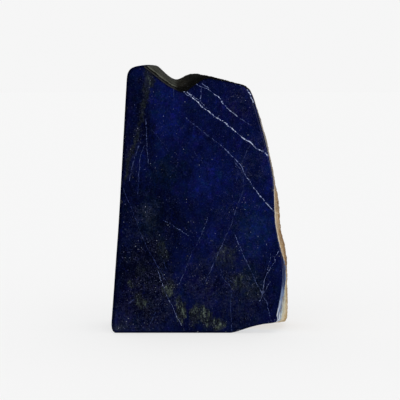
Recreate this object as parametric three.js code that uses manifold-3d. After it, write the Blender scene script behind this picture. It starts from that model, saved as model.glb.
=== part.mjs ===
// A polished freeform slab of lapis lazuli, one natural stone that stands on its sawn base.
// Millimetres, +Z up. The broad polished face looks towards -Y and the stone's right side is at +X.
// The origin is the middle of the footprint, on the surface that the stone stands on.

import * as THREE from 'three';
import { mergeVertices } from 'three/addons/utils/BufferGeometryUtils.js';
import Module from 'manifold-3d';

// Driving dimensions
const thicknessAtBase = 42;
const thicknessAtTop = 30;
const height = 160;
const bellyDepth = 0.6; // where the outline is fullest, as a share of the way from front to back
const faceCrown = 0.6; // how far the polished faces stand out at their middle
const sawnOff = 1; // what the saw took off the foot, so that the stone stands flat

// Corners of the stone's outline, clockwise from the left end of the base, each as [x, z].
// The side runs from the front face's edge over the fullest layer (belly) to the back face's edge.
// round is how far along the outline a corner is softened, and edge is the radius worn onto the
// faces' edges there.
const corners = [
  { name: 'left foot', front: [-52.9, 0], belly: [-53.5, 0], back: [-50.6, 0], round: 5, edge: 1.7 },
  { name: 'left side', front: [-47.9, 70], belly: [-48.2, 70], back: [-46, 70], round: 20, edge: 1.7 },
  { name: 'top left', front: [-42.6, 158.8], belly: [-42.8, 158.8], back: [-40.2, 157.4], round: 6, edge: 1.7 },
  { name: 'shoulder', front: [-33.8, 160.6], belly: [-29.2, 161], back: [-25.4, 160.3], round: 1.8, edge: 0.9 },
  { name: 'notch slope', front: [-17.8, 147.8], belly: [-17.5, 151.2], back: [-18.6, 153.5], round: 6, edge: 0.9 },
  { name: 'notch', front: [-9.4, 144.6], belly: [-12.2, 148.9], back: [-14.4, 151.4], round: 2.5, edge: 0.9 },
  { name: 'hump', front: [3.4, 153.8], belly: [-2, 155.6], back: [-5.6, 156], round: 4, edge: 0.9 },
  { name: 'top edge', front: [17, 151.1], belly: [17, 150.2], back: [16, 147.8], round: 8, edge: 1 },
  { name: 'top right', front: [29.3, 148], belly: [30.4, 146.6], back: [29, 143.4], round: 6, edge: 1.2 },
  { name: 'upper side', front: [39.3, 113.5], belly: [40.4, 114], back: [38.6, 114], round: 14, edge: 1 },
  { name: 'middle side', front: [44.4, 91], belly: [47.2, 84], back: [46.2, 84], round: 12, edge: 0.8 },
  { name: 'waist', front: [44.5, 67], belly: [49.2, 62], back: [48.5, 62], round: 10, edge: 0.7 },
  { name: 'hip', front: [50, 43], belly: [52.8, 48], back: [51.6, 48], round: 9, edge: 0.7 },
  { name: 'lower side', front: [48.8, 26], belly: [54, 22], back: [52.2, 22], round: 10, edge: 0.7 },
  { name: 'right foot', front: [45.1, 8], belly: [53.4, 4.2], back: [50.6, 4], round: 2.5, edge: 0.9 },
  { name: 'underside', front: [32, 5.4], belly: [33, 3], back: [33, 3], round: 7, edge: 1.4 },
  { name: 'end of base', front: [18, 0], belly: [19, 0], back: [19, 0], round: 8, edge: 1.6 },
];

// How finely the solid is faceted
const stepLength = 5.5; // along a straight stretch of the outline
const arcSteps = 4; // round a corner of the outline
const edgeSteps = 3; // round the edge of a face
const sideSteps = 8; // from the front edge to the back edge
const faceRings = [0.84, 0.6, 0.32]; // rings on a face, as shares of its outline

// Outline of one layer: x, z and edge radius of each point. Every layer has the same number of points,
// because the number along a stretch comes from its length on the belly layer.
function layerOutline(layer) {
  const at = (i, key) => {
    const corner = corners[(i + corners.length) % corners.length];
    return new THREE.Vector3(corner[key][0], corner[key][1], corner.edge);
  };
  const towards = (from, to, distance) => {
    const share = distance / Math.hypot(to.x - from.x, to.y - from.y);
    return from.clone().lerp(to, Math.min(share, 0.48));
  };
  const points = [];
  corners.forEach((corner, i) => {
    const here = at(i, layer);
    const next = at(i + 1, layer);
    const nextRound = corners[(i + 1) % corners.length].round;
    const bend = new THREE.QuadraticBezierCurve3(
      towards(here, at(i - 1, layer), corner.round),
      here,
      towards(here, next, corner.round),
    );
    const straight = new THREE.LineCurve3(bend.v2, towards(next, here, nextRound));
    const span = at(i, 'belly').distanceTo(at(i + 1, 'belly')) - corner.round - nextRound;
    const straightSteps = Math.max(1, Math.round(span / stepLength));
    points.push(...bend.getPoints(arcSteps), ...straight.getPoints(straightSteps).slice(1, -1));
  });
  return points;
}

// Unit vectors that point into the stone, in the plane of the outline
function inwardDirections(outline) {
  return outline.map((_, i) => {
    const before = outline.at(i - 1);
    const after = outline[(i + 1) % outline.length];
    return new THREE.Vector2(after.y - before.y, before.x - after.x).normalize();
  });
}

const frontOutline = layerOutline('front');
const bellyOutline = layerOutline('belly');
const backOutline = layerOutline('back');
const inward = inwardDirections(bellyOutline);

const thicknessAt = (z) => THREE.MathUtils.mapLinear(z, 0, height, thicknessAtBase, thicknessAtTop);

// A point of the side, with depth running from 0 at the front face to 1 at the back face
function sidePoint(i, depth, inset) {
  const toFront = ((bellyDepth - depth) * (1 - depth)) / bellyDepth;
  const toBelly = (depth * (1 - depth)) / (bellyDepth * (1 - bellyDepth));
  const toBack = (depth * (depth - bellyDepth)) / (1 - bellyDepth);
  const blend = (key) => toFront * frontOutline[i][key] + toBelly * bellyOutline[i][key] + toBack * backOutline[i][key];
  const x = blend('x') + inward[i].x * inset;
  const z = blend('y') + inward[i].y * inset;
  return new THREE.Vector3(x, (depth - 0.5) * thicknessAt(z), z);
}

// One closed ring of points for each step from the front face's edge to the back face's edge
function sideRings() {
  const rings = [];
  const addRing = (depthAt, insetAt) => {
    rings.push(
      bellyOutline.map((point, i) => {
        const radius = point.z;
        const radiusShare = radius / thicknessAt(point.y);
        return sidePoint(i, depthAt(radiusShare), insetAt(radius));
      }),
    );
  };
  const quarter = (step) => (step / edgeSteps) * (Math.PI / 2);
  for (let step = 0; step < edgeSteps; step++) {
    const turn = quarter(step);
    addRing((share) => share * (1 - Math.cos(turn)), (radius) => radius * (1 - Math.sin(turn)));
  }
  for (let step = 0; step <= sideSteps; step++) {
    addRing((share) => share + (step / sideSteps) * (1 - 2 * share), () => 0);
  }
  for (let step = edgeSteps - 1; step >= 0; step--) {
    const turn = quarter(step);
    addRing((share) => 1 - share * (1 - Math.cos(turn)), (radius) => radius * (1 - Math.sin(turn)));
  }
  return rings;
}

// Rings of a face from its edge inwards, and its middle point. outward is -1 on the front and 1 on the back.
function faceRingsOf(edgeRing, outward) {
  const middle = new THREE.Vector3(0, 0, height / 2);
  middle.y = (outward * thicknessAt(middle.z)) / 2;
  const crowned = (share) => (point) => {
    const moved = middle.clone().lerp(point, share);
    moved.y += outward * faceCrown * (1 - share * share);
    return moved;
  };
  return { rings: faceRings.map((share) => edgeRing.map(crowned(share))), middle: crowned(0)(middle) };
}

function stoneGeometry() {
  const side = sideRings();
  const front = faceRingsOf(side[0], -1);
  const back = faceRingsOf(side.at(-1), 1);
  const rings = [...front.rings.toReversed(), ...side, ...back.rings];
  const count = bellyOutline.length;
  const points = [...rings.flat(), front.middle, back.middle];
  const frontMiddle = points.length - 2;
  const backMiddle = points.length - 1;
  const lastRing = (rings.length - 1) * count;
  const triangles = [];
  for (let i = 0; i < count; i++) {
    const next = (i + 1) % count;
    triangles.push(frontMiddle, next, i);
    for (let ring = 0; ring < lastRing; ring += count) {
      triangles.push(ring + i, ring + next, ring + count + i);
      triangles.push(ring + next, ring + count + next, ring + count + i);
    }
    triangles.push(backMiddle, lastRing + i, lastRing + next);
  }
  const geometry = new THREE.BufferGeometry().setFromPoints(points);
  geometry.setIndex(triangles);
  return geometry;
}

// The saw cut that makes the flat base
function sawCut() {
  const cut = new THREE.BoxGeometry(2 * height, 2 * height, height);
  cut.translate(0, 0, sawnOff - height / 2);
  cut.deleteAttribute('normal');
  cut.deleteAttribute('uv');
  return mergeVertices(cut);
}

const wasm = await Module();
wasm.setup();

const toSolid = (geometry) => new wasm.Manifold(new wasm.Mesh({
  numProp: 3,
  vertProperties: geometry.attributes.position.array,
  triVerts: new Uint32Array(geometry.index.array),
}));

function toGeometry(solid) {
  const mesh = solid.getMesh();
  const geometry = new THREE.BufferGeometry();
  geometry.setAttribute('position', new THREE.BufferAttribute(mesh.vertProperties, 3));
  geometry.setIndex(new THREE.BufferAttribute(mesh.triVerts, 1));
  return geometry;
}

// Moves a shape so that the middle of its footprint is at the origin
function standAtOrigin(geometry) {
  geometry.computeBoundingBox();
  const middle = geometry.boundingBox.getCenter(new THREE.Vector3());
  return geometry.translate(-middle.x, -middle.y, -geometry.boundingBox.min.z);
}

const stone = new THREE.Mesh(
  standAtOrigin(toGeometry(toSolid(stoneGeometry()).subtract(toSolid(sawCut())))),
  new THREE.MeshStandardMaterial({ color: 0x0c1550, roughness: 0.2, metalness: 0 }),
);
stone.name = 'lapis_lazuli';

const lapisSlab = new THREE.Group();
lapisSlab.add(stone);

export default lapisSlab;
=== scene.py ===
# A standing slab of lapis lazuli: polished faces, a natural notch in its top edge, and crust down one side.
# Metres, +Z up; the broad polished face looks towards -Y. Sizes in the dictionaries are in millimetres,
# and a place on the stone is given as (x, z) on its front face.

import math
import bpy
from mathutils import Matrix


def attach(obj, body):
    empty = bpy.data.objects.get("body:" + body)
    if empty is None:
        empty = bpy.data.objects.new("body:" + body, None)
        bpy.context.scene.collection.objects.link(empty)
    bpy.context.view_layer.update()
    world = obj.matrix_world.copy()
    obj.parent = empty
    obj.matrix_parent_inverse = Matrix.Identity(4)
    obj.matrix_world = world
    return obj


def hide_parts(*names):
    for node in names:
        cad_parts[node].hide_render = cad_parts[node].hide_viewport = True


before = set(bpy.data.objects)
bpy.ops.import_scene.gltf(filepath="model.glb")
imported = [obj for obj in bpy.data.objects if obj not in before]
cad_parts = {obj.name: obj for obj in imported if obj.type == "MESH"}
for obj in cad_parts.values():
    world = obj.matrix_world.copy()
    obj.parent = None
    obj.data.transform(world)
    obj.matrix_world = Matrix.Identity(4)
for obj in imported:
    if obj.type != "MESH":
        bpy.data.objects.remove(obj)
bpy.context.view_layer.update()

from types import SimpleNamespace

import bmesh
import bpy
import numpy as np
from mathutils import Vector, noise


class Bench:  # lays nodes in a tree, and an input takes a socket or a plain number, colour or vector

    def __init__(self, tree):
        self.tree = tree
        self.place = None  # the position in mm that patterns are laid by

    def add(self, kind, inputs=(), **settings):
        node = self.tree.nodes.new(kind)
        for key, value in settings.items():
            setattr(node, key, value)
        for key, value in dict(inputs).items():
            self.feed(node.inputs[key], value)
        return node

    def feed(self, socket, value):
        if isinstance(value, bpy.types.NodeSocket):
            self.tree.links.new(value, socket)
        elif value is not None:
            single = socket.type == "VECTOR" and isinstance(value, float)
            socket.default_value = (value,) * 3 if single else value

    def calc(self, operation, a, b=None, c=None):
        inputs = {i: value for i, value in enumerate((a, b, c)) if value is not None}
        return self.add("ShaderNodeMath", inputs, operation=operation).outputs[0]

    def plus(self, a, b):
        return self.calc("ADD", a, b)

    def minus(self, a, b):
        return self.calc("SUBTRACT", a, b)

    def times(self, a, b):
        return self.calc("MULTIPLY", a, b)

    def scaled(self, value, factor, added):
        return self.calc("MULTIPLY_ADD", value, factor, added)

    def merge(self, operation, kept, new):  # for what a loop gathers up
        return new if kept is None else self.calc(operation, kept, new)

    def vector(self, operation, a, b=None, c=None, scale=None):
        inputs = {i: value for i, value in enumerate((a, b, c)) if value is not None}
        if scale is not None:
            inputs["Scale"] = scale
        node = self.add("ShaderNodeVectorMath", inputs, operation=operation)
        return node.outputs["Value" if operation in ("DOT_PRODUCT", "DISTANCE") else "Vector"]

    def fade(self, value, low, high, start=0.0, end=1.0):
        inputs = {"Value": value, "From Min": low, "From Max": high, "To Min": start, "To Max": end}
        return self.add("ShaderNodeMapRange", inputs, interpolation_type="SMOOTHSTEP").outputs["Result"]

    def moved(self, shift=0.0, stretch=(1, 1, 1)):  # the place, in another part of a pattern or drawn out
        inputs = {"Vector": self.place, "Location": (shift, shift * 0.7, -shift), "Scale": stretch}
        return self.add("ShaderNodeMapping", inputs).outputs[0]

    def noise(self, size, detail, rough, shift=0.0, stretch=(1, 1, 1), colour=False):
        moved = self.moved(shift, stretch)
        inputs = {"Vector": moved, "Scale": 1 / size, "Detail": detail, "Roughness": rough}
        return self.add("ShaderNodeTexNoise", inputs).outputs[1 if colour else 0]

    def pattern(self, name):
        return self.noise(*patterns[name])

    def wobble(self, size, reach, detail, rough, shift=0.0):  # an uneven shift in x and z, in mm
        colour = self.noise(size, detail, rough, shift, colour=True)
        parts = self.add("ShaderNodeSeparateColor", {0: colour}).outputs
        both = self.add("ShaderNodeCombineXYZ", {0: parts[0], 2: parts[2]}).outputs[0]
        return self.vector("MULTIPLY_ADD", both, (reach, 0, reach), (-reach / 2, 0, -reach / 2))

    def mix(self, factor, a, b, how="MIX"):
        node = self.add("ShaderNodeMix", data_type="RGBA", blend_type=how)
        for socket, value in zip((node.inputs[0], node.inputs[6], node.inputs[7]), (factor, a, b)):
            self.feed(socket, (*value, 1) if isinstance(value, tuple) else value)
        return node.outputs[2]

    def blend(self, factor, a, b):
        return self.add("ShaderNodeMix", {0: factor, 2: a, 3: b}, data_type="FLOAT").outputs[0]

    def ramp(self, factor, stops):
        node = self.add("ShaderNodeValToRGB", {0: factor})
        elements = node.color_ramp.elements
        while len(elements) < len(stops):
            elements.new(0.5)
        for element, (position, colour) in zip(elements, stops):
            element.position = position
            element.color = (*colour, 1)
        return node.outputs[0]


def newSocket(tree, name, kind, way="INPUT"):
    return tree.interface.new_socket(name, in_out=way, socket_type="NodeSocket" + kind)


stoneForm = {
    "voxel": 1.0,
    "smoothSteps": 6,
    "faceAtBase": 21.0,  # from the middle of the thickness to a polished face, at the base
    "taper": 0.0375,  # and how much less of it there is for each mm of height
    "rightEdgeFront": [  # (z, x) of the front face's right edge
        (0, 52), (7, 50), (10.5, 45.8), (26, 49), (43, 50), (67, 44.7), (91, 44.3), (113, 39.5), (147, 29.5),
    ],
    "rightEdgeBack": [(0, 50), (4, 50.5), (22, 52.5), (46, 51), (62, 48), (84, 46), (114, 38.5), (146, 29)],
    "crustStart": [  # (z, how far behind the front face)
        (0, 0.5), (40, 0.5), (60, 0.3), (84, 0.3), (100, 1.3), (112, 2.4), (130, 3.5), (147, 4),
    ],
    "crustOnBack": [  # (z, reach from the edge)
        (0, 24), (22, 17), (45, 7), (70, 5), (95, 12), (118, 8), (147, 3),
    ],
    "crustLeftEnd": 2.0,
    "topRight": 29.0,  # the crust on the top edge starts here, and the notch's surface ends
    "shoulder": (-33.5, -25.5),  # where the notch's natural surface starts, at the front and at the back
    "polishedLips": (0.7, 0.9),  # what stays polished beside it, at the front and at the back
    "undersideStart": (20.0, 7.0),  # crust under the raised foot: from this x, and so far behind the front
    "hollows": [  # where the crust reaches further onto the back: centre, radii, turn
        ((24, 112), (19, 11), -40), ((9, 124), (9, 5), -20), ((32, 42), (20, 15), 20),
        ((12, 33), (12, 6), 10),
    ],
    "wander": [(24, 13), (9, 5), (4, 1.6)],  # how the crust's edge strays: over what length, how far
    "farOutside": -9.0,
    "keptDistances": (-30, 60),
}


def between(table, at):
    table = np.array(table, float)
    return np.interp(at, table[:, 0], table[:, 1])


def soft(value, low, high):
    share = np.clip((value - low) / (high - low), 0, 1)
    return share * share * (3 - 2 * share)


def bake(piece):  # the evaluated shape becomes the piece's plain mesh
    shown = piece.evaluated_get(bpy.context.evaluated_depsgraph_get())
    mesh = bpy.data.meshes.new_from_object(shown)
    piece.modifiers.clear()
    piece.data = mesh
    return piece


def remeshedStone(node):
    work = bmesh.new()
    work.from_mesh(node.data)
    bmesh.ops.remove_doubles(work, verts=work.verts, dist=1e-6)
    mesh = bpy.data.meshes.new("stone_work")
    work.to_mesh(mesh)
    work.free()
    stone = bpy.data.objects.new("stone_work", mesh)
    bpy.context.scene.collection.objects.link(stone)
    remesh = stone.modifiers.new("even", "REMESH")
    remesh.mode = "VOXEL"
    remesh.voxel_size = stoneForm["voxel"] / 1000
    smooth = stone.modifiers.new("settle", "SMOOTH")
    smooth.iterations = stoneForm["smoothSteps"]
    return bake(stone)


def refineNatural(stone):  # the natural surfaces get points twice as close as the polished ones
    work = bmesh.new()
    work.from_mesh(stone.data)
    layers = [work.verts.layers.float[name] for name in ("crust", "notch")]
    rough = {vert for vert in work.verts if max(vert[layer] for layer in layers) > -1}
    edges = [edge for edge in work.edges if edge.verts[0] in rough and edge.verts[1] in rough]
    bmesh.ops.subdivide_edges(work, edges=edges, cuts=1, use_grid_fill=True)
    bmesh.ops.triangulate(work, faces=[face for face in work.faces if len(face.verts) > 4])
    work.to_mesh(stone.data)
    work.free()


def vertexVectors(mesh, name):  # "co" gives the places of the points and "normal" the way they face
    found = np.empty(len(mesh.vertices) * 3, np.float32)
    mesh.vertices.foreach_get(name, found)
    return found.reshape(-1, 3).astype(float)


def store(mesh, name, values):
    attribute = mesh.attributes.get(name) or mesh.attributes.new(name, "FLOAT", "POINT")
    attribute.data.foreach_set("value", values.astype(np.float32))


def insideEllipses(x, z, ellipses):  # how far inside the nearest one, in mm
    inside = np.full(len(x), stoneForm["farOutside"])
    for (cx, cz), (rx, rz), turn in ellipses:
        a = math.radians(turn)
        across = ((x - cx) * math.cos(a) + (z - cz) * math.sin(a)) / rx
        along = ((z - cz) * math.cos(a) - (x - cx) * math.sin(a)) / rz
        inside = np.maximum(inside, (1 - np.hypot(across, along)) * min(rx, rz))
    return inside


def markRegions(stone):  # each region is stored as the distance inside its edge, in mm
    form = stoneForm
    x, y, z = (vertexVectors(stone.data, "co") * 1000).T
    _, ny, nz = vertexVectors(stone.data, "normal").T
    half = form["faceAtBase"] - form["taper"] * z
    behindFront = y + half
    behindBack = half - y
    share = np.clip(behindFront / (2 * half), 0, 1)
    stray = sum(
        reach * np.array([noise.noise(Vector(place) / length) for place in zip(x, y, z)])
        for length, reach in form["wander"]
    )

    # crust down the right side, round onto the back and under the raised foot
    fromFront = np.minimum(0, x - between(form["rightEdgeFront"], z))
    ontoBack = np.maximum(0, between(form["rightEdgeBack"], z) - x)
    girth = behindFront + (1 - share) * fromFront + share * ontoBack
    girth = np.where(nz > 0.5, behindFront + np.minimum(0, x - form["topRight"]), girth)
    inward = girth - between(form["crustStart"], z)
    outward = 2 * half + between(form["crustOnBack"], z) - girth
    hollow = np.where(ny > 0.3, insideEllipses(x, z, form["hollows"]), form["farOutside"])
    outward = np.maximum(outward, hollow) + stray
    crust = np.minimum(np.minimum(inward, outward), x - form["crustLeftEnd"])
    underX, underDepth = form["undersideStart"]
    under = np.minimum(behindFront - underDepth, x - underX)
    under -= 60 * np.maximum(0, nz + 0.4)  # only faces that look down
    crust = np.maximum(crust, under)

    # natural surface of the notch and the top edge
    front, back = form["shoulder"]
    frontLip, backLip = form["polishedLips"]
    shoulder = front + (back - front) * share
    end = form["topRight"] + 0.4 * stray - x
    top = np.minimum(behindFront - frontLip, behindBack - backLip)
    top = np.minimum(top, np.minimum(x - shoulder, end))
    top -= 12 * np.maximum(0, 0.35 - nz)  # only faces that look up

    # the rounded edges of the two polished faces
    edge = soft(np.abs(ny), 0.12, 0.35) * soft(1 - np.abs(ny), 0.02, 0.12)
    sawn = ((nz < -0.9) & (z < 0.2)).astype(float)
    regions = {"crust": crust, "notch": top, "edge": edge, "sawn": sawn}
    for name, values in regions.items():
        store(stone.data, name, np.clip(values, *form["keptDistances"]))


relief = {
    "crustSwell": 1.5, "crustSwellSize": 19.0,
    "crustLump": 0.7, "crustLumpSize": 6.0,
    "crustGrain": 0.2, "crustGrainSize": 1.6,
    "ledge": 0.45, "ledgeSize": 15.0,
    "pit": 0.7, "pitSize": 4.0,
    "crack": 0.7, "crackSize": 17.0,
    "notchRib": 0.35, "notchRibWidth": 4.2,
    "notchLump": 0.5,
    "sunk": 0.12,  # how far the natural surfaces lie below the outline on the whole
    "polishWave": 0.06,
    "nick": 0.2,
    "seed": 3.0,
}


class ReliefBench(Bench):  # a bench for the tree that shapes the stone, whose inputs are in given

    def stored(self, name):
        node = self.add("GeometryNodeInputNamedAttribute", {"Name": name}, data_type="FLOAT")
        return node.outputs["Attribute"]

    def texture(self, size, detail):
        moved = self.vector("DIVIDE", self.place, size)
        return self.add("ShaderNodeTexNoise", {"Vector": moved, "Scale": 1.0, "Detail": detail}).outputs[0]

    def bumps(self, size, height, detail=2.0):  # swings either way from 0
        swing = self.minus(self.texture(size, detail), 0.5)
        return self.times(swing, self.times(height, 2.2))


def ledges(bench):  # as breaks between thin layers leave them
    levels = bench.times(bench.texture(bench.given["ledgeSize"], 3.0), 12.0)
    step = bench.calc("FRACT", levels)
    ledge = bench.minus(bench.fade(step, 0.3, 0.55), step)
    return bench.times(ledge, bench.given["ledge"])


def pits(bench):
    place = bench.vector("DIVIDE", bench.place, bench.given["pitSize"])
    cells = bench.add("ShaderNodeTexVoronoi", {"Vector": place, "Scale": 1.0})
    lot = bench.add("FunctionNodeSeparateColor", {0: cells.outputs["Color"]}).outputs[0]
    inside = bench.fade(cells.outputs["Distance"], 0.42, 0.12)
    pit = bench.times(inside, bench.calc("LESS_THAN", lot, 0.22))
    return bench.times(pit, bench.given["pit"])


def cracks(bench):  # between blocks of the crust
    shaken = bench.add("ShaderNodeTexNoise", {"Vector": bench.place, "Scale": 0.12, "Detail": 3.0}).outputs[1]
    shaken = bench.vector("MULTIPLY_ADD", shaken, (12.0, 12.0, 12.0), bench.place)
    blocks = {"Vector": bench.vector("DIVIDE", shaken, bench.given["crackSize"]), "Scale": 1.0}
    border = bench.add("ShaderNodeTexVoronoi", blocks, feature="DISTANCE_TO_EDGE").outputs["Distance"]
    crack = bench.times(bench.fade(border, 0.055, 0.0), bench.fade(bench.texture(20.0, 2.0), 0.42, 0.56))
    return bench.times(crack, bench.fade(bench.stored("crust"), 1.0, 6.0))


def notchRibs(bench):  # they run along the notch, so they change only from the front to the back
    depth = bench.add("ShaderNodeSeparateXYZ", {0: bench.place}).outputs[1]
    wander = bench.add("ShaderNodeTexNoise", {"Vector": bench.place, "Scale": 0.06, "Detail": 2.0}).outputs[0]
    phase = bench.calc("DIVIDE", depth, bench.given["notchRibWidth"])
    phase = bench.plus(phase, bench.times(wander, 2.5))
    rib = bench.minus(bench.calc("PINGPONG", phase, 0.5), 0.3)
    return bench.times(rib, bench.times(bench.given["notchRib"], 3.0))


def reliefTree():
    tree = bpy.data.node_groups.new("natural_relief", "GeometryNodeTree")
    newSocket(tree, "Geometry", "Geometry")
    for name, value in relief.items():
        newSocket(tree, name, "Float").default_value = value
    newSocket(tree, "Finish", "Material")
    newSocket(tree, "Geometry", "Geometry", "OUTPUT")
    bench = ReliefBench(tree)
    given = bench.given = bench.add("NodeGroupInput").outputs
    position = bench.add("GeometryNodeInputPosition").outputs[0]
    normal = bench.add("GeometryNodeInputNormal").outputs[0]
    shift = bench.times(given["seed"], 37.0)
    bench.place = bench.vector("ADD", bench.vector("SCALE", position, scale=1000.0), shift)

    crust = bench.fade(bench.stored("crust"), -0.2, 2.0)
    deep = bench.fade(bench.stored("crust"), 0.0, 14.0, 0.35, 1.0)  # calmer beside the polished face
    notch = bench.fade(bench.stored("notch"), -0.1, 1.2)
    natural = bench.calc("MAXIMUM", crust, notch)
    swell = bench.bumps(given["crustSwellSize"], given["crustSwell"])
    lump = bench.bumps(given["crustLumpSize"], given["crustLump"], 3.0)
    grain = bench.bumps(given["crustGrainSize"], given["crustGrain"], 3.0)
    ledge = ledges(bench)
    pit = pits(bench)
    crack = cracks(bench)

    rough = bench.plus(bench.plus(lump, ledge), grain)
    crustMove = bench.minus(bench.plus(swell, rough), pit)
    crustMove = bench.minus(crustMove, bench.times(crack, given["crack"]))
    crustMove = bench.times(bench.times(crust, deep), crustMove)

    ribs = notchRibs(bench)
    lumps = bench.plus(bench.bumps(7.0, given["notchLump"], 3.0), grain)
    ribs = bench.plus(ribs, lumps)
    calm = bench.fade(bench.stored("notch"), 0.5, 9.0, 0.3, 1.0)
    notchMove = bench.times(bench.times(notch, calm), bench.plus(ribs, ledge))
    lift = bench.plus(crustMove, notchMove)
    lift = bench.minus(lift, bench.times(natural, given["sunk"]))

    wave = bench.times(bench.bumps(32.0, given["polishWave"], 1.0), bench.minus(1.0, natural))
    nick = bench.times(bench.stored("edge"), bench.fade(bench.texture(3.0, 3.0), 0.6, 0.72))
    move = bench.minus(bench.plus(lift, wave), bench.times(nick, given["nick"]))
    move = bench.times(move, bench.minus(1.0, bench.stored("sawn")))
    offset = bench.vector("SCALE", normal, scale=bench.calc("DIVIDE", move, 1000.0))
    kept = given["Geometry"]
    for name, value in {"lift": lift, "nick": nick, "crack": crack}.items():
        inputs = {"Geometry": kept, "Name": name, "Value": value}
        storing = bench.add("GeometryNodeStoreNamedAttribute", inputs, data_type="FLOAT", domain="POINT")
        kept = storing.outputs[0]
    shaped = bench.add("GeometryNodeSetPosition", {"Geometry": kept, "Offset": offset}).outputs[0]
    plain = bench.add("GeometryNodeRealizeInstances", {0: shaped}).outputs[0]
    finished = {"Geometry": plain, "Material": given["Finish"]}
    bench.add("NodeGroupOutput", {0: bench.add("GeometryNodeSetMaterial", finished).outputs[0]})
    return tree


def fillInputs(modifier, tree, values):
    for item in tree.interface.items_tree:
        if item.item_type == "SOCKET" and item.in_out == "INPUT" and item.name in values:
            modifier[item.identifier] = values[item.name]


def makeStone(material):
    stone = remeshedStone(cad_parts["lapis_lazuli"])
    markRegions(stone)
    refineNatural(stone)
    markRegions(stone)
    shape = stone.modifiers.new("relief", "NODES")
    shape.node_group = reliefTree()
    fillInputs(shape, shape.node_group, {**relief, "Finish": material})
    mesh = bake(stone).data
    places = vertexVectors(mesh, "co")
    sawn = np.empty(len(places), np.float32)
    mesh.attributes["sawn"].data.foreach_get("value", sawn)
    places[:, 2] = np.where(sawn > 0.5, 0, np.maximum(places[:, 2], 0))  # the base stays flat on the ground
    mesh.vertices.foreach_set("co", places.ravel().astype(np.float32))
    mesh.polygons.foreach_set("use_smooth", np.ones(len(mesh.polygons), bool))
    mesh.update()
    stone.name = mesh.name = "lapis_stone"
    triangles = sum(len(polygon.vertices) - 2 for polygon in mesh.polygons)
    print(f"stone: {len(mesh.vertices)} points, {triangles} triangles")
    return stone


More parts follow.
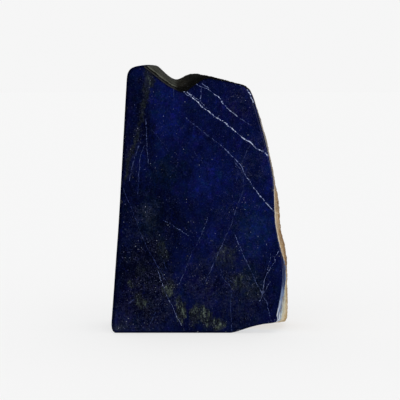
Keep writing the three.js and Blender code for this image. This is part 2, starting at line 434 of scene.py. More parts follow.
# Sheets of calcite in the stone: which way each leans as it goes back, its width and brightness, and the
# line that it makes on the front face
veins = [
    ("across", 0.4, 1.0, [(-9.5, 144.3), (-7.7, 142)]),
    ("across", 0.42, 1.0, [(-7.9, 143.8), (-4.8, 141.4)]),
    ("across", 0.38, 1.05, [(-7, 142), (-3.5, 139.6), (-1.5, 137.8), (3, 134)]),
    ("across", 0.46, 1.18, [(3, 134), (7.5, 130.5), (15, 125.5), (23.5, 118.5)]),
    ("across", 0.44, 0.86, [
        (23.5, 118.5), (26.5, 116), (29.5, 114.5), (33.5, 110.5), (37.5, 108.5), (41, 105.5), (48, 100),
    ]),
    ("across", 0.26, 0.45, [(0.5, 136.5), (5, 134)]),
    ("across", 0.9, 1.0, [(7.4, 130.8), (8.3, 129.6)]),
    ("steep", 0.26, 0.6, [(11.2, 130), (10.2, 127.6)]),
    ("across", 0.28, 0.5, [(-2.5, 149), (1, 147.2), (5, 145.6)]),
    ("across", 0.36, 0.72, [(5, 145.6), (12.5, 139.5), (13.5, 137), (22.5, 129)]),
    ("across", 0.26, 0.36, [(22.5, 129), (30, 124.5)]),
    ("across", 0.24, 0.55, [(1, 149.5), (5.5, 146)]),
    ("steep", 0.24, 0.5, [(1, 146.5), (0, 138.5)]),
    ("steep", 0.2, 0.34, [(-15.5, 145.6), (-15.5, 140.6)]),
    ("across", 0.22, 0.6, [(-6.4, 143.2), (-3.2, 140.7), (0.4, 138.2), (2.4, 136.4)]),
    ("across", 0.27, 0.31, [(-8.5, 129), (-1, 122.5), (12.5, 112.5)]),
    ("across", 0.34, 0.5, [(12.5, 112.5), (20.5, 105), (24, 101), (28, 93)]),
    ("across", 0.38, 0.66, [(28, 93), (34, 84.5), (43.5, 73.5), (50, 67)]),
    ("across", 0.22, 0.34, [(21.5, 102), (25.5, 96)]),
    ("steep", 0.22, 0.3, [(31, 114.5), (28, 109.5), (24.5, 101.5)]),
    ("steep", 0.2, 0.18, [(20, 104.5), (22.5, 97.5), (21, 90)]),
    ("steep", 0.22, 0.26, [(26, 92.5), (25.5, 86.5), (21, 73), (18.5, 65.5)]),
    ("steep", 0.23, 0.35, [(18.5, 65.5), (8.5, 43.5), (2.5, 30)]),
    ("across", 0.2, 0.26, [(2.5, 30), (-4, 27.5)]),
    ("across", 0.22, 0.42, [(20.5, 60), (25, 49), (31, 36), (39.5, 19.5), (42.5, 7.5)]),
    ("steep", 0.23, 0.54, [(47, 49), (44.5, 46), (44.5, 43), (40, 35.5), (38, 31), (37.5, 24.5)]),
    ("across", 0.2, 0.46, [(42, 47.5), (40.5, 38)]),
    ("steep", 0.22, 0.54, [(42, 31), (37.5, 23.5), (35, 18.5)]),
    ("left", 0.22, 0.28, [(12.5, 39), (13.5, 34), (19, 27), (18.5, 14), (19, 1.5)]),
    ("across", 0.2, 0.34, [(15.5, 34), (21.5, 28.5)]),
    ("left", 0.25, 0.36, [(-32, 128), (-31.5, 116.5), (-31, 101.5)]),
    ("left", 0.23, 0.31, [(-33, 112.5), (-35.5, 105.5), (-37, 83.5)]),
    ("left", 0.24, 0.3, [(-36.5, 112), (-39.5, 102), (-42, 91)]),
    ("across", 0.2, 0.18, [(-29, 122), (-21, 113), (-19, 109)]),
    ("across", 0.21, 0.25, [(-46, 87.5), (-39.5, 72), (-35, 59.5), (-30, 49), (-20.5, 32)]),
    ("across", 0.18, 0.62, [(-25, 37.5), (-20.5, 24.5), (-16, 15.5), (-11, 4.5)]),
    ("across", 0.24, 0.4, [(-21.5, 68), (-12, 62), (-6.5, 58.5)]),
    ("across", 0.2, 0.22, [(-4, 110), (2, 101.5)]),
    ("steep", 0.22, 0.33, [(4.5, 69.5), (0.5, 58.5), (-4.8, 49), (-8.4, 39.3), (-12.5, 30)]),
    ("steep", 0.22, 0.24, [(-26.5, 13), (-31, 3)]),
    ("steep", 0.24, 0.28, [(-39, 21), (-42.5, 18)]),
    ("across", 0.2, 0.24, [(-22, 43.5), (-19, 37.5)]),
    # the two skin lines on the top-right edge are white chipping and a painted highlight along that edge
    ("skin", 0.24, 0.4, [(23, 148), (25.5, 147), (28, 145.5)]),
    ("skin", 0.56, 1.1, [(28, 145.5), (29.6, 143), (31.4, 138)]),
]
leans = {  # how far a sheet moves in x and z for each mm that it goes back
    "across": (0.32, -0.22), "steep": (-0.24, 0.14), "left": (0.4, 0.05), "skin": (0, 0),
}

# The olive band and patches of the host rock
olive = {
    "band": [(-29, 158), (-31, 149), (-32.6, 140), (-34.8, 128), (-38.4, 115), (-41.5, 106), (-45, 92)],
    "bandHalfWidth": 1.8,
    "patches": [  # centre, radii, turn in degrees, strength
        ((-18.5, 27), (5, 8), -12, 0.7), ((-11.5, 14), (3.5, 11.5), 6, 1.0), ((-3, 11), (4.5, 9), -15, 0.9),
        ((-35, 19), (5, 7), 15, 0.8), ((-41, 29.5), (2.5, 3), 0, 0.9), ((-47, 4), (9, 5), 10, 0.5),
        ((4, 10), (5, 10), 20, 1.0), ((10, 6), (7, 6), -20, 0.9), ((15, 46), (10, 11), 0, 0.55),
        ((24, 31), (9, 9), 0, 0.6), ((32, 24), (8, 8), 0, 0.45), ((-30, 68), (7, 14), 10, 0.35),
        ((-22, 50), (5, 9), 20, 0.5), ((-30, 152), (4.6, 8), 10, 0.9), ((-32.5, 143), (2.7, 9), 8, 0.7),
        ((-4, 66), (5, 5), 0, 0.3), ((-36, 38), (6, 6), 0, 0.4), ((-20, 98), (9, 7), 0, 0.25),
    ],
}

# Places where the grains are thick or bright: centre, radii, turn, strength
crumbs = [
    ((-48, 3), (9, 4), 0, 1.0), ((-32, 70), (12, 18), 0, 0.16), ((-18.5, 27), (5.5, 8), -12, 1.0),
    ((13, 47), (9, 4), 0, 0.8), ((-31, 149), (4, 7), 12, 0.1), ((-28, 22), (22, 26), 0, 0.28),
    ((-40, 10), (16, 12), 0, 0.34), ((-32, 52), (18, 30), 0, 0.11), ((0, 31), (13, 20), 0, 0.17),
    ((26, 24), (18, 26), 0, 0.24), ((25, 139), (13, 14), 0, 0.13), ((37, 110), (8, 18), 10, 0.15),
    ((28, 98), (12, 14), 0, 0.11), ((22, 62), (22, 30), 0, 0.08), ((-41, 104), (5, 22), -14, 0.1),
    ((6, 22), (8, 10), 0, 0.3),
]

# Where the blue is brighter or darker than the rest: centre, radii, turn, strength
blueTones = [
    ((-20, 134), (13, 26), 0, 0.14), ((-33, 128), (6, 34), 9, -0.32), ((2, 30), (14, 20), 0, -0.16),
    ((-45, 125), (12, 48), 4, -0.26), ((6, 90), (14, 15), 0, 0.15), ((33, 60), (15, 24), 0, 0.12),
    # the strip at (42, 95) is painted highlight: brighter blue along the right edge, where that edge catches
    # the light
    ((42, 95), (6, 22), 8, 0.16), ((-16, 97), (14, 12), 0, -0.16), ((-30, 66), (26, 40), 0, -0.26),
    ((-12, 68), (20, 20), 0, -0.08), ((-34, 30), (26, 30), 0, -0.4), ((28, 22), (26, 26), 0, -0.2),
    ((-8, 6), (54, 14), 0, -0.15),
]

# Where it turns to teal (strength above 0) or to violet: centre, radii, turn, strength
blueTints = [
    ((-20, 97), (14, 12), 0, 0.16), ((-30, 70), (10, 20), 0, 0.22), ((-21, 50), (6, 10), 0, 0.16),
    ((32, 62), (15, 22), 0, 0.14), ((30, 30), (11, 14), 0, 0.22), ((-46, 130), (8, 40), 4, -0.18),
    ((22, 138), (17, 17), 0, -0.12), ((2, 32), (15, 15), 0, -0.08), ((-42, 22), (11, 18), 0, -0.14),
]

# Every uneven pattern of the finish: its size in mm, detail, roughness, shift, and how it is drawn out
patterns = {
    "grit": (0.75, 2, 0.6, 19), "veinSwelling": (3.2, 3, 0.7, 11), "veinGaps": (1.5, 3, 0.75, 23),
    "broadTone": (17, 3, 0.5, 5), "tone": (3.2, 2, 0.6, 7, (1, 1, 0.6)),
    "blotches": (3.6, 3, 0.7, 43), "tint": (5, 4, 0.7, 41),
    "veil": (3.0, 4, 0.75, 53), "stroke": (2.0, 4, 0.75, 51, (1, 1, 0.36)),
    "fineStroke": (0.8, 3, 0.7, 57, (1, 1, 0.7)),
    "clumps": (4.2, 5, 0.75, 59), "haze": (1.9, 4, 0.75, 47), "grain": (0.85, 2, 0.6, 9),
    "wideHairs": (2.6, 3, 0.65, 97), "narrowHairs": (1.5, 3, 0.65, 101),
    "crustEdge": (2.4, 4, 0.65, 61), "crustTone": (11.0, 5, 0.65, 63), "crustMottle": (1.6, 4, 0.7, 65),
    "crustStreak": (1.5, 4, 0.65, 67, (1, 1, 0.16)), "greySpecks": (1.1, 3, 0.7, 71),
    "stain": (8.0, 5, 0.7, 75, (1, 1, 0.6)), "greyAreas": (22.0, 4, 0.6, 77),
    "blueShowing": (13.0, 5, 0.72, 73, (1, 1, 0.7)),
    "rindDrift": (9.0, 4, 0.7, 85), "rindEdge": (4, 4, 0.7, 81, (0.6, 0.6, 0.2)),
    "rindBands": (1.2, 3, 0.65, 79, (0.35, 0.35, 0.05)), "rindStreaks": (0.9, 2, 0.6, 89, (0.45, 0.45, 0.05)),
    "notchRows": (1.8, 3, 0.7, 83, (0.08, 1, 0.08)), "notchLines": (0.9, 2, 0.6, 93, (0.06, 1, 0.06)),
    "notchMottle": (3, 4, 0.7, 87), "notchClouds": (5, 5, 0.7, 95),
    "bump": (0.7, 4, 0.7, 91),
}
wobbles = {  # size in mm, how far, detail, roughness, shift
    "veins": (4.2, 2.6, 4, 0.7), "zones": (5, 8, 4, 0.7, 31),
}
paleDots = [  # spacing in mm, size as a share of it, shift, how often, strength of the brightest
    (0.85, 0.36, 3, 2.0, 0.8), (1.5, 0.24, 13, 0.5, 0.6),
]
goldDots = (1.9, 0.2, 17)  # the first three of these

finish = {
    "blues": [  # from the darkest to the most vivid, each with the tone it belongs to
        (0.08, (0.0002, 0.0009, 0.009)), (0.3, (0.0005, 0.0021, 0.02)), (0.5, (0.001, 0.0032, 0.036)),
        (0.72, (0.0018, 0.0055, 0.064)), (1.0, (0.0045, 0.0105, 0.13)),
    ],
    "vivid": (0.0028, 0.0062, 0.108),
    "violet": (2.2, 0.7, 1.1),  # these two are factors on the blue
    "teal": (0.9, 1.85, 0.88),
    "grainLight": (0.0085, 0.01, 0.019),
    "grainDark": (0.0, 0.0004, 0.004),
    "crackle": (0.016, 0.019, 0.033),
    "oliveDark": (0.0036, 0.0056, 0.0064),
    "olivePale": (0.096, 0.126, 0.09),
    "clumps": (0.0056, 0.0048, 0.0058),
    "veinTones": [
        (0.08, (0.008, 0.013, 0.068)), (0.35, (0.04, 0.056, 0.145)),
        (0.62, (0.17, 0.215, 0.42)), (1.0, (0.56, 0.63, 0.8)),
    ],
    "speck": (0.09, 0.093, 0.17),
    "calcite": (0.36, 0.39, 0.46),
    "pyrite": (0.125, 0.112, 0.072),
    "crustTan": (0.415, 0.26, 0.113),
    "crustBrown": (0.265, 0.152, 0.069),
    "crustCream": (0.76, 0.67, 0.52),
    "crustGrey": (0.17, 0.155, 0.135),
    "rimGrey": (0.2, 0.2, 0.19),
    "edgeGrey": (0.15, 0.175, 0.23),
    "crustRust": (0.2, 0.095, 0.04),
    "crustBlue": (0.02, 0.034, 0.115),
    "lowRind": [  # low on the crust, from the blue outwards
        (0.0, (0.62, 0.66, 0.86)), (0.1, (0.4, 0.44, 0.62)), (0.18, (0.15, 0.21, 0.37)),
        (0.36, (0.22, 0.3, 0.43)), (0.54, (0.46, 0.54, 0.54)), (0.72, (0.57, 0.56, 0.42)),
        (1.0, (0.65, 0.505, 0.275)),
    ],
    "lowTan": (0.65, 0.505, 0.275),
    "rindSlate": (0.15, 0.22, 0.4),
    "rindBlue": (0.0095, 0.019, 0.1),
    "rindWhite": (0.74, 0.78, 0.86),
    "rindDark": (0.05, 0.07, 0.14),
    "notchRows": [  # across the notch from the front edge to the back edge
        (0.0, (0.004, 0.004, 0.005)), (0.03, (0.031, 0.0315, 0.035)), (0.075, (0.028, 0.0285, 0.03)),
        (0.095, (0.003, 0.0033, 0.003)), (0.165, (0.003, 0.0033, 0.003)), (0.19, (0.098, 0.102, 0.08)),
        (0.26, (0.1, 0.104, 0.082)), (0.29, (0.052, 0.055, 0.043)), (0.52, (0.054, 0.056, 0.045)),
        (0.62, (0.056, 0.058, 0.048)), (0.84, (0.047, 0.0465, 0.043)), (0.93, (0.012, 0.0118, 0.011)),
    ],
    "notchWidth": 36.0,  # from the front edge to the back edge
    "notchDark": (0.0105, 0.0102, 0.0085),
    "notchBlack": (0.003, 0.003, 0.003),
    "notchBrown": (0.015, 0.0138, 0.0098),
    "notchGrey": (0.036, 0.034, 0.028),
    "notchRidge": (0.003, 0.0033, 0.003),
    "sawDust": (0.1, 0.11, 0.16),
    "polishRoughness": 0.1,
    "naturalRoughness": 0.82,
    "chippedRoughness": 0.6,
    "polishSpecular": 0.28,
    "bumpStrength": 0.8,
    "bumpHeight": 0.0004,  # in metres, as the shader takes it
}


def veinSegmentGroup():  # distance from a point to a straight piece of vein
    tree = bpy.data.node_groups.new("vein_segment", "ShaderNodeTree")
    for name in ("Point", "Start", "Span", "Share"):
        newSocket(tree, name, "Vector")
    newSocket(tree, "Distance", "Float", "OUTPUT")
    bench = Bench(tree)
    given = bench.add("NodeGroupInput").outputs
    gone = bench.vector("SUBTRACT", given["Point"], given["Start"])
    along = bench.add("ShaderNodeClamp", {0: bench.vector("DOT_PRODUCT", gone, given["Share"])}).outputs[0]
    nearest = bench.vector("SCALE", given["Span"], scale=along)
    bench.add("NodeGroupOutput", {0: bench.vector("DISTANCE", gone, nearest)})
    return tree


def lineDistance(bench, group, point, line):
    nearest = None
    for (x0, z0), (x1, z1) in zip(line[:-1], line[1:]):
        span = Vector((x1 - x0, 0, z1 - z0))
        inputs = {"Point": point, "Start": (x0, 0, z0), "Span": span, "Share": span / span.length_squared}
        distance = bench.add("ShaderNodeGroup", inputs, node_tree=group).outputs[0]
        nearest = bench.merge("MINIMUM", nearest, distance)
    return nearest


def zone(bench, point, centre, radii, turn):  # 1 in the middle of an ellipse, falling to 0 at its rim
    c, s = math.cos(math.radians(turn)), math.sin(math.radians(turn))
    gone = bench.vector("SUBTRACT", point, (centre[0], 0, centre[1]))
    across = bench.vector("DOT_PRODUCT", gone, (c / radii[0], 0, s / radii[0]))
    along = bench.vector("DOT_PRODUCT", gone, (-s / radii[1], 0, c / radii[1]))
    squared = bench.scaled(across, across, bench.times(along, along))
    return bench.fade(squared, 1.0, 0.05)


def addZones(bench, value, point, zones):
    for centre, radii, turn, strength in zones:
        value = bench.scaled(zone(bench, point, centre, radii, turn), strength, value)
    return value


def strongestZone(bench, value, point, zones):
    for centre, radii, turn, strength in zones:
        spot = bench.times(zone(bench, point, centre, radii, turn), strength)
        value = bench.merge("MAXIMUM", value, spot)
    return value


def grains(bench, cell, reach, shift):  # round grains: how far inside one, and two random numbers
    inputs = {"Vector": bench.moved(shift), "Scale": 1 / cell, "Randomness": 1.0}
    cells = bench.add("ShaderNodeTexVoronoi", inputs, feature="F1")
    random = bench.add("ShaderNodeSeparateColor", {0: cells.outputs["Color"]})
    size = bench.scaled(random.outputs[1], reach * 0.55, reach * 0.45)
    inside = bench.fade(bench.minus(size, cells.outputs["Distance"]), 0, reach * 0.5)
    return inside, random.outputs[0], random.outputs[2]


def region(bench, name):  # what the stone's points hold
    return bench.add("ShaderNodeAttribute", attribute_name=name).outputs["Fac"]


# The steps below share what they lay through rock, such as the depth, the veins and the crust's edge

def stonePlaces(bench, rock):
    inputs = {"Vector": bench.add("ShaderNodeTexCoord").outputs["Object"], "Scale": (1000, 1000, 1000)}
    bench.place = bench.add("ShaderNodeMapping", inputs).outputs[0]
    rock.x, y, rock.z = bench.add("ShaderNodeSeparateXYZ", {0: bench.place}).outputs

    # how far behind the front face's plane a point is
    depth = bench.scaled(rock.z, -stoneForm["taper"], stoneForm["faceAtBase"])
    rock.depth = bench.plus(y, depth)

    flat = bench.vector("MULTIPLY", bench.place, (1, 0, 1))
    flat = bench.vector("ADD", flat, bench.wobble(*wobbles["veins"]))
    rock.sheets = {}
    for name, (a, b) in leans.items():
        back = bench.vector("SCALE", (-a, 0, -b), scale=rock.depth)
        rock.sheets[name] = bench.vector("ADD", flat, back)


def layVeins(bench, rock):  # crumbly lines that swell, thin out and break
    rock.grit = bench.pattern("grit")
    swelling = bench.fade(bench.pattern("veinSwelling"), 0.34, 0.66, 1.7, 0.66)
    rock.group = veinSegmentGroup()
    veined = None
    for sheet, width, bright, line in veins:
        distance = bench.times(lineDistance(bench, rock.group, rock.sheets[sheet], line), swelling)
        distance = bench.plus(distance, 0.85 * width)
        distance = bench.scaled(rock.grit, -1.7 * width, distance)
        vein = bench.fade(distance, width, width * 0.1, 0.0, bright)
        if sheet == "skin":  # it stays in front
            vein = bench.times(vein, bench.fade(rock.depth, 2.2, 0.9))
        veined = bench.merge("MAXIMUM", veined, vein)
    gaps = bench.fade(bench.pattern("veinGaps"), 0.4, 0.56, 0.22, 1.3)
    rock.veined = bench.times(veined, gaps)


def blueRock(bench, rock):
    tone = bench.scaled(bench.pattern("broadTone"), 0.42, 0.29)
    tone = bench.scaled(bench.pattern("tone"), 0.66, bench.minus(tone, 0.33))
    rock.drifted = bench.vector("ADD", rock.sheets["left"], bench.wobble(*wobbles["zones"]))
    rock.tone = tone = addZones(bench, tone, rock.drifted, blueTones)
    blue = bench.ramp(tone, finish["blues"])
    blotches = bench.fade(bench.pattern("blotches"), 0.54, 0.66)
    blotches = bench.times(blotches, bench.fade(tone, 0.45, 0.7, 0.1, 0.8))
    blue = bench.mix(blotches, blue, finish["vivid"])
    tint = addZones(bench, bench.pattern("tint"), rock.drifted, blueTints)
    blue = bench.mix(bench.fade(tint, 0.48, 0.3, 0, 0.9), blue, finish["violet"], "MULTIPLY")
    return bench.mix(bench.fade(tint, 0.52, 0.7, 0, 0.9), blue, finish["teal"], "MULTIPLY")


def oliveRock(bench, rock, colour):  # a dark veil with short pale strokes in it
    bandLine = lineDistance(bench, rock.group, rock.drifted, olive["band"])
    patchy = bench.fade(bandLine, olive["bandHalfWidth"] * 1.5, 0.0, 0.0, 0.75)
    rock.patchy = patchy = strongestZone(bench, patchy, rock.drifted, olive["patches"])
    veil = bench.scaled(bench.pattern("veil"), 1.3, bench.minus(patchy, 0.65))
    rock.veil = bench.times(bench.fade(veil, 0.05, 0.95), bench.fade(patchy, 0.0, 0.4))
    colour = bench.mix(bench.times(rock.veil, 0.8), colour, finish["oliveDark"])
    stroke = bench.fade(bench.pattern("stroke"), 0.47, 0.65, 0.0, 2.3)
    fineStroke = bench.fade(bench.pattern("fineStroke"), 0.44, 0.64, 0.22, 1.0)
    lowDown = bench.times(rock.veil, bench.fade(rock.z, 85, 60, 0.22, 1.0))
    strong = bench.times(lowDown, bench.times(patchy, patchy))
    stroke = bench.times(bench.times(stroke, fineStroke), strong)
    return bench.mix(stroke, colour, finish["olivePale"], "ADD")


def grainyRock(bench, rock, colour):  # light and dark grain, hairlines, pale dots and pyrite
    crumbly = strongestZone(bench, None, rock.drifted, crumbs)
    crumbly = bench.calc("MAXIMUM", crumbly, bench.times(rock.patchy, 0.22))
    clumps = bench.pattern("clumps")
    coarse = bench.times(bench.fade(crumbly, 0.0, 0.28), bench.fade(clumps, 0.42, 0.6))
    haze = bench.times(coarse, bench.fade(bench.pattern("haze"), 0.4, 0.66))
    colour = bench.mix(haze, colour, finish["clumps"], "ADD")
    grain = bench.pattern("grain")
    light = bench.times(bench.fade(grain, 0.57, 0.78), 1.65)
    light = bench.times(light, bench.fade(rock.tone, 0.05, 0.35, 0.6, 1.0))
    colour = bench.mix(light, colour, finish["grainLight"], "ADD")
    dark = bench.times(bench.fade(grain, 0.5, 0.3), 0.5)
    colour = bench.mix(dark, colour, finish["grainDark"])

    # how thick the light grains lie
    thick = bench.times(bench.plus(crumbly, 0.055), bench.fade(clumps, 0.38, 0.62, 0.3, 2.1))
    for name in ("wideHairs", "narrowHairs"):
        ridge = bench.calc("ABSOLUTE", bench.minus(bench.pattern(name), 0.5))
        hair = bench.times(bench.fade(ridge, 0.035, 0.0), bench.fade(thick, 0.0, 0.32, 0.05, 0.45))
        colour = bench.mix(hair, colour, finish["crackle"], "ADD")
    for cell, reach, shift, chance, strong in paleDots:
        dot, lot, glow = grains(bench, cell, reach, shift)
        pale = bench.times(dot, bench.calc("LESS_THAN", lot, bench.times(thick, chance)))
        pale = bench.times(pale, bench.fade(glow, 0.0, 1.0, 0.12, strong))
        bright = bench.mix(bench.fade(glow, 0.86, 1.0), finish["speck"], finish["calcite"])
        colour = bench.mix(pale, colour, bright, "ADD")
    dot, lot, _ = grains(bench, *goldDots)
    rock.gold = bench.times(dot, bench.calc("LESS_THAN", lot, bench.times(thick, 0.17)))
    return bench.mix(bench.times(rock.gold, 0.75), colour, finish["pyrite"])


def crustBody(bench, rock):  # iron brown in the hollows of the crust, cream on its heights; the hollows' darker brown is also painted shade
    crustIn, lift = rock.crustIn, rock.lift
    tone = bench.scaled(lift, 0.16, bench.pattern("crustTone"))
    tone = bench.scaled(bench.pattern("crustMottle"), 0.3, bench.minus(tone, 0.15))
    crust = bench.ramp(tone, [
        (0.26, finish["crustBrown"]), (0.44, finish["crustTan"]), (0.56, finish["crustTan"]),
        (0.72, finish["crustCream"]),
    ])
    rock.streak = streak = bench.pattern("crustStreak")
    layered = bench.fade(crustIn, 14, 6)
    creamy = bench.times(layered, bench.fade(streak, 0.46, 0.64, 0, 0.45))
    crust = bench.mix(creamy, crust, finish["crustCream"])
    brownish = bench.times(layered, bench.fade(streak, 0.46, 0.34, 0, 0.5))
    crust = bench.mix(brownish, crust, finish["crustBrown"])
    crust = bench.mix(bench.fade(bench.pattern("greySpecks"), 0.56, 0.7, 0, 0.5), crust, finish["crustGrey"])
    stain = bench.scaled(lift, -0.05, bench.pattern("stain"))
    crust = bench.mix(bench.fade(stain, 0.55, 0.7, 0, 0.75), crust, finish["crustRust"])
    crust = bench.mix(bench.fade(bench.pattern("greyAreas"), 0.52, 0.64, 0, 0.45), crust, finish["crustGrey"])
    showing = bench.scaled(lift, -0.05, bench.pattern("blueShowing"))
    showing = bench.times(bench.fade(showing, 0.56, 0.68), bench.fade(crustIn, 3, 8))
    crust = bench.mix(bench.times(showing, 0.8), crust, finish["crustBlue"])
    # painted shade: browner from 5 mm to about 30 mm into the crust, where the side turns away from the light
    turnedAwayShade = bench.times(bench.fade(crustIn, 5, 13, 0, 0.7), bench.fade(crustIn, 34, 24))
    crust = bench.mix(turnedAwayShade, crust, finish["crustBrown"])
    crust = bench.mix(bench.times(rock.veinShare, 0.6), crust, finish["crustCream"])
    # painted shade as well as iron stain: the deepest pits turn dark rust
    return bench.mix(bench.fade(lift, -0.45, -1.1, 0, 0.55), crust, finish["crustRust"])


def crustFront(bench, rock, crust):  # a cream line beside the blue, and a grey rim higher up that is partly the crust's grey and partly a painted highlight along that edge
    crustIn, depth = rock.crustIn, rock.depth
    rock.frontPart = bench.fade(depth, 30, 18)
    line = bench.times(bench.fade(crustIn, 3.0, 0.9, 0, 0.7), bench.fade(depth, 30, 18, 0.4, 1.0))
    crust = bench.mix(line, crust, finish["crustCream"])
    crust = bench.mix(bench.fade(crustIn, 0.8, 0.1, 0, 0.85), crust, finish["edgeGrey"])
    # painted highlight: the rim's grey stands for the light line along the upper right edge, turning dark
    # above z 112
    rim = bench.mix(bench.fade(rock.z, 112, 135), finish["rimGrey"], finish["rindDark"])
    upper = bench.times(bench.fade(crustIn, 26, 10, 0, 0.75), bench.fade(rock.streak, 0.36, 0.6, 1.0, 0.5))
    high = bench.fade(rock.z, 80, 96)
    upper = bench.times(high, bench.calc("MAXIMUM", upper, bench.fade(crustIn, 5.5, 2.0)))
    return bench.mix(bench.times(upper, rock.frontPart), crust, rim)


def crustFoot(bench, rock, crust):  # low down a rind of white, slate and pale tan, and deep blue above it
    drift = bench.scaled(bench.pattern("rindDrift"), 24, bench.minus(rock.z, 12))  # an uneven height
    reach = bench.fade(drift, 58, 28, 0.2, 13.5)
    ragged = bench.scaled(bench.pattern("rindEdge"), 3.0, bench.minus(rock.crustIn, 1.5))
    outwards = bench.calc("DIVIDE", ragged, reach)  # 0 beside the blue, 1 where the rind ends
    bands = bench.pattern("rindBands")
    outwards = bench.scaled(bench.minus(bands, 0.5), bench.fade(drift, 30, 18, 0.3, 0.7), outwards)
    rind = bench.ramp(outwards, finish["lowRind"])
    streaks = bench.pattern("rindStreaks")
    slateReach = bench.calc("DIVIDE", outwards, bench.fade(drift, 20, 32, 0.5, 1.0))
    slate = bench.times(bench.fade(drift, 10, 20), bench.fade(slateReach, 1.05, 0.78))
    rind = bench.mix(slate, rind, finish["rindSlate"])
    whiter = bench.times(bench.fade(streaks, 0.53, 0.63), bench.fade(drift, 27, 15, 0.03, 0.75))
    whiter = bench.times(whiter, bench.fade(outwards, 0.62, 0.92, 1.0, 0.25))
    rind = bench.mix(whiter, rind, finish["rindWhite"])
    rind = bench.mix(bench.fade(streaks, 0.47, 0.37, 0, 0.38), rind, finish["rindDark"])
    whiteEdge = bench.times(bench.fade(outwards, 0.24, 0.06), bench.fade(drift, 22, 12, 0, 0.8))
    rind = bench.mix(whiteEdge, rind, finish["rindWhite"])
    deepBlue = bench.mix(bench.fade(streaks, 0.53, 0.64, 0, 0.35), finish["rindBlue"], finish["rindSlate"])
    above = bench.times(bench.fade(drift, 22, 34), bench.fade(outwards, 0.8, 0.55))
    rind = bench.mix(above, rind, deepBlue)
    crust = bench.mix(bench.times(bench.fade(outwards, 1.25, 0.95), rock.frontPart), crust, rind)
    # painted light: the crust paler tan low down, lifting the shade near the floor
    pale = bench.times(bench.fade(rock.z, 34, 8, 0, 0.55), bench.fade(outwards, 0.7, 1.2))
    crust = bench.mix(pale, crust, finish["lowTan"])
    outer = bench.times(bench.fade(rock.z, 46, 26), bench.fade(rock.crustIn, 26, 12))
    outer = bench.times(outer, bench.fade(outwards, 0.8, 1.1))
    brownish = bench.times(outer, bench.fade(streaks, 0.46, 0.36, 0, 0.4))
    crust = bench.mix(brownish, crust, finish["crustBrown"])
    creamy = bench.times(outer, bench.fade(bands, 0.54, 0.66, 0, 0.5))
    return bench.mix(creamy, crust, finish["crustCream"])


def crustedRock(bench, rock, colour):
    rock.edgeNoise = bench.minus(bench.pattern("crustEdge"), 0.5)
    unevenness = bench.fade(rock.depth, 20, 34, 1.6, 5.0)
    rock.crustIn = bench.scaled(rock.edgeNoise, unevenness, region(bench, "crust"))
    wider = bench.plus(rock.crustIn, bench.fade(rock.z, 30, 55, 0.0, 0.45))
    rock.crustShare = bench.fade(wider, -0.1, 0.3)
    rock.lift = region(bench, "lift")
    crust = crustBody(bench, rock)
    crust = crustFront(bench, rock, crust)
    crust = crustFoot(bench, rock, crust)
    # rust in the cracks, darkened there as painted shade in the crevices too
    crust = bench.mix(bench.times(region(bench, "crack"), 0.75), crust, finish["crustRust"])
    return bench.mix(rock.crustShare, colour, crust)


def notchedRock(bench, rock, colour):  # rows that run along the notch, nearly black over the hump
    notchIn = bench.scaled(rock.edgeNoise, 0.5, region(bench, "notch"))
    rock.notchShare = bench.fade(notchIn, -0.15, 0.1)
    rows = bench.pattern("notchRows")
    uneven = bench.scaled(rows, 0.04, -0.02)
    rowPlace = bench.scaled(rock.depth, 1 / finish["notchWidth"], uneven)
    notch = bench.ramp(rowPlace, finish["notchRows"])
    notch = bench.mix(bench.fade(rows, 0.5, 0.34, 0, 0.5), notch, finish["notchBrown"])
    lines = bench.pattern("notchLines")
    notch = bench.mix(bench.fade(lines, 0.42, 0.32, 0, 0.8), notch, finish["notchBlack"])

    mottle = bench.fade(bench.pattern("notchMottle"), 0.4, 0.62, 0, 0.6)
    dark = bench.mix(mottle, finish["notchDark"], finish["notchBlack"])
    dark = bench.mix(bench.fade(rock.x, -5.5, -11.0), dark, finish["notchBrown"])
    dark = bench.mix(bench.fade(rowPlace, 0.85, 0.95, 0, 0.7), dark, finish["notchBrown"])
    # painted shadow: the notch goes black near its front, where the slope lies in deep shade
    dark = bench.mix(bench.fade(rock.depth, 16.0, 5.0, 0, 0.85), dark, finish["notchBlack"])
    clouds = bench.fade(bench.pattern("notchClouds"), 0.5, 0.64, 0, 0.7)
    clouds = bench.times(clouds, bench.fade(rock.depth, 15, 23))
    dark = bench.mix(clouds, dark, finish["notchGrey"])
    notch = bench.mix(bench.fade(rock.x, -16.0, -12.8), notch, dark)
    notch = bench.mix(bench.fade(rock.lift, 0.25, 0.9, 0, 0.15), notch, finish["notchRidge"])
    return bench.mix(rock.notchShare, colour, notch)


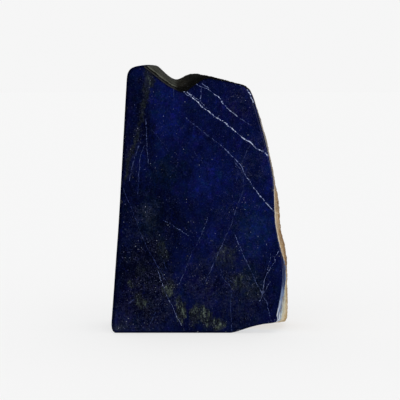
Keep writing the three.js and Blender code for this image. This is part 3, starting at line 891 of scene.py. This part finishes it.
def stoneFinish():
    material = bpy.data.materials.new("veined_lapis")
    material.use_nodes = True
    tree = material.node_tree
    tree.nodes.clear()
    bench = Bench(tree)
    rock = SimpleNamespace()
    stonePlaces(bench, rock)
    layVeins(bench, rock)
    colour = blueRock(bench, rock)
    colour = oliveRock(bench, rock, colour)
    colour = grainyRock(bench, rock, colour)
    rim = bench.times(region(bench, "edge"), bench.fade(rock.x, 25, 5, 0, 0.65))
    colour = bench.mix(rim, colour, finish["grainDark"])  # painted shade: the rounded polished edges darker from x 25 mm leftwards
    veinColour = bench.ramp(rock.veined, finish["veinTones"])
    rock.veinShare = bench.fade(rock.veined, 0.0, 0.2)
    colour = bench.mix(rock.veinShare, colour, veinColour)
    colour = crustedRock(bench, rock, colour)
    colour = notchedRock(bench, rock, colour)

    nickShare = bench.times(bench.fade(region(bench, "nick"), 0.15, 0.5), bench.fade(rock.grit, 0.35, 0.6))
    chips = bench.times(nickShare, bench.fade(rock.z, 5, 1, 0.06, 0.4))
    colour = bench.mix(chips, colour, finish["calcite"])
    sawn = region(bench, "sawn")
    colour = bench.mix(bench.times(sawn, 0.35), colour, finish["sawDust"])

    natural = bench.calc("MAXIMUM", rock.crustShare, rock.notchShare)
    roughness = bench.scaled(rock.veil, 0.1, finish["polishRoughness"])
    roughness = bench.scaled(rock.veined, 0.15, roughness)
    roughness = bench.blend(natural, roughness, finish["naturalRoughness"])
    chipped = bench.calc("MAXIMUM", nickShare, bench.times(sawn, 0.9))
    roughness = bench.blend(chipped, roughness, finish["chippedRoughness"])
    metal = bench.times(bench.times(rock.gold, 0.4), bench.minus(1.0, natural))

    height = bench.plus(bench.pattern("bump"), bench.times(rock.streak, 0.8))
    height = bench.times(height, bench.calc("MAXIMUM", natural, nickShare))
    bump = {"Strength": finish["bumpStrength"], "Distance": finish["bumpHeight"], "Height": height}
    normal = bench.add("ShaderNodeBump", bump).outputs[0]
    shader = bench.add("ShaderNodeBsdfPrincipled", {
        "Base Color": colour, "Roughness": roughness, "Metallic": metal, "Normal": normal,
        "Specular IOR Level": finish["polishSpecular"],
    })
    bench.add("ShaderNodeOutputMaterial", {"Surface": shader.outputs[0]})
    print(f"finish: {len(tree.nodes)} nodes")
    return material


studio = {
    "paper": (0.32, 0.32, 0.32),
    "paperGlow": 0.6,  # the table under the paper is lit, which keeps the shadows faint
    "paperRadius": 4.0,  # in metres, as is the next one
    "paperDrop": 0.0001,
    "seen": 0.92,  # what the camera sees beyond the floor
    "fill": 0.855,  # the light from all round
    "sun": {"turn": -15, "height": 60, "power": 0.6, "angle": 70},  # turned from the front, in degrees
    "panel": {"turn": 78, "height": 12, "power": 2.0, "size": 0.9, "distance": 1.6},  # for the polish only
}

cameraView = {"target": (0, 0, 78), "distance": 950, "turn": 0, "height": 6, "lens": 141}


def direction(settings):  # from the stone towards a light or the camera
    turn, height = math.radians(settings["turn"]), math.radians(settings["height"])
    return Vector((math.sin(turn) * math.cos(height), -math.cos(turn) * math.cos(height), math.sin(height)))


def place(name, data, settings):
    thing = bpy.data.objects.new(name, data)
    thing.rotation_euler = direction(settings).to_track_quat("Z", "Y").to_euler()
    bpy.context.scene.collection.objects.link(thing)
    return thing


def makeFloor():
    bpy.ops.mesh.primitive_circle_add(vertices=96, radius=studio["paperRadius"], fill_type="NGON")
    floor = bpy.context.object
    floor.name = "floor"
    floor.location.z = -studio["paperDrop"]
    floor.visible_glossy = False
    paper = bpy.data.materials.new("paper")
    paper.use_nodes = True
    shader = paper.node_tree.nodes["Principled BSDF"]
    shader.inputs["Base Color"].default_value = (*studio["paper"], 1)
    shader.inputs["Roughness"].default_value = 0.9
    shader.inputs["Specular IOR Level"].default_value = 0.0
    shader.inputs["Emission Color"].default_value = (1, 1, 1, 1)
    shader.inputs["Emission Strength"].default_value = studio["paperGlow"]
    floor.data.materials.append(paper)


def makeLights():
    world = bpy.data.worlds.new("studio")
    bpy.context.scene.world = world
    world.use_nodes = True
    world.node_tree.nodes.clear()
    bench = Bench(world.node_tree)
    ray = bench.add("ShaderNodeLightPath").outputs
    light = bench.blend(ray["Is Camera Ray"], studio["fill"], studio["seen"])
    background = bench.add("ShaderNodeBackground", {"Color": (1, 1, 1, 1), "Strength": light})
    bench.add("ShaderNodeOutputWorld", {0: background.outputs[0]})
    world.cycles_visibility.glossy = False  # the polish stays deep, as under a shaded light

    sun = bpy.data.lights.new("window", "SUN")
    sun.energy = studio["sun"]["power"]
    sun.angle = math.radians(studio["sun"]["angle"])
    place("window", sun, studio["sun"]).visible_glossy = False

    light = bpy.data.lights.new("panel", "AREA")
    light.size = studio["panel"]["size"]
    light.energy = studio["panel"]["power"]
    panel = place("panel", light, studio["panel"])
    panel.location = direction(studio["panel"]) * studio["panel"]["distance"]
    panel.visible_diffuse = panel.visible_camera = False


def makeCamera():
    data = bpy.data.cameras.new("camera")
    data.lens = cameraView["lens"]
    data.clip_end = 20
    camera = place("camera", data, cameraView)
    away = direction(cameraView) * cameraView["distance"]
    camera.location = (Vector(cameraView["target"]) + away) / 1000
    bpy.context.scene.camera = camera


makeCamera()
makeFloor()
makeLights()
bpy.context.scene.view_settings.view_transform = "Standard"
print("studio and camera set")

lapis = stoneFinish()
stone = makeStone(lapis)
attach(stone, "root")
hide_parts("lapis_lazuli")
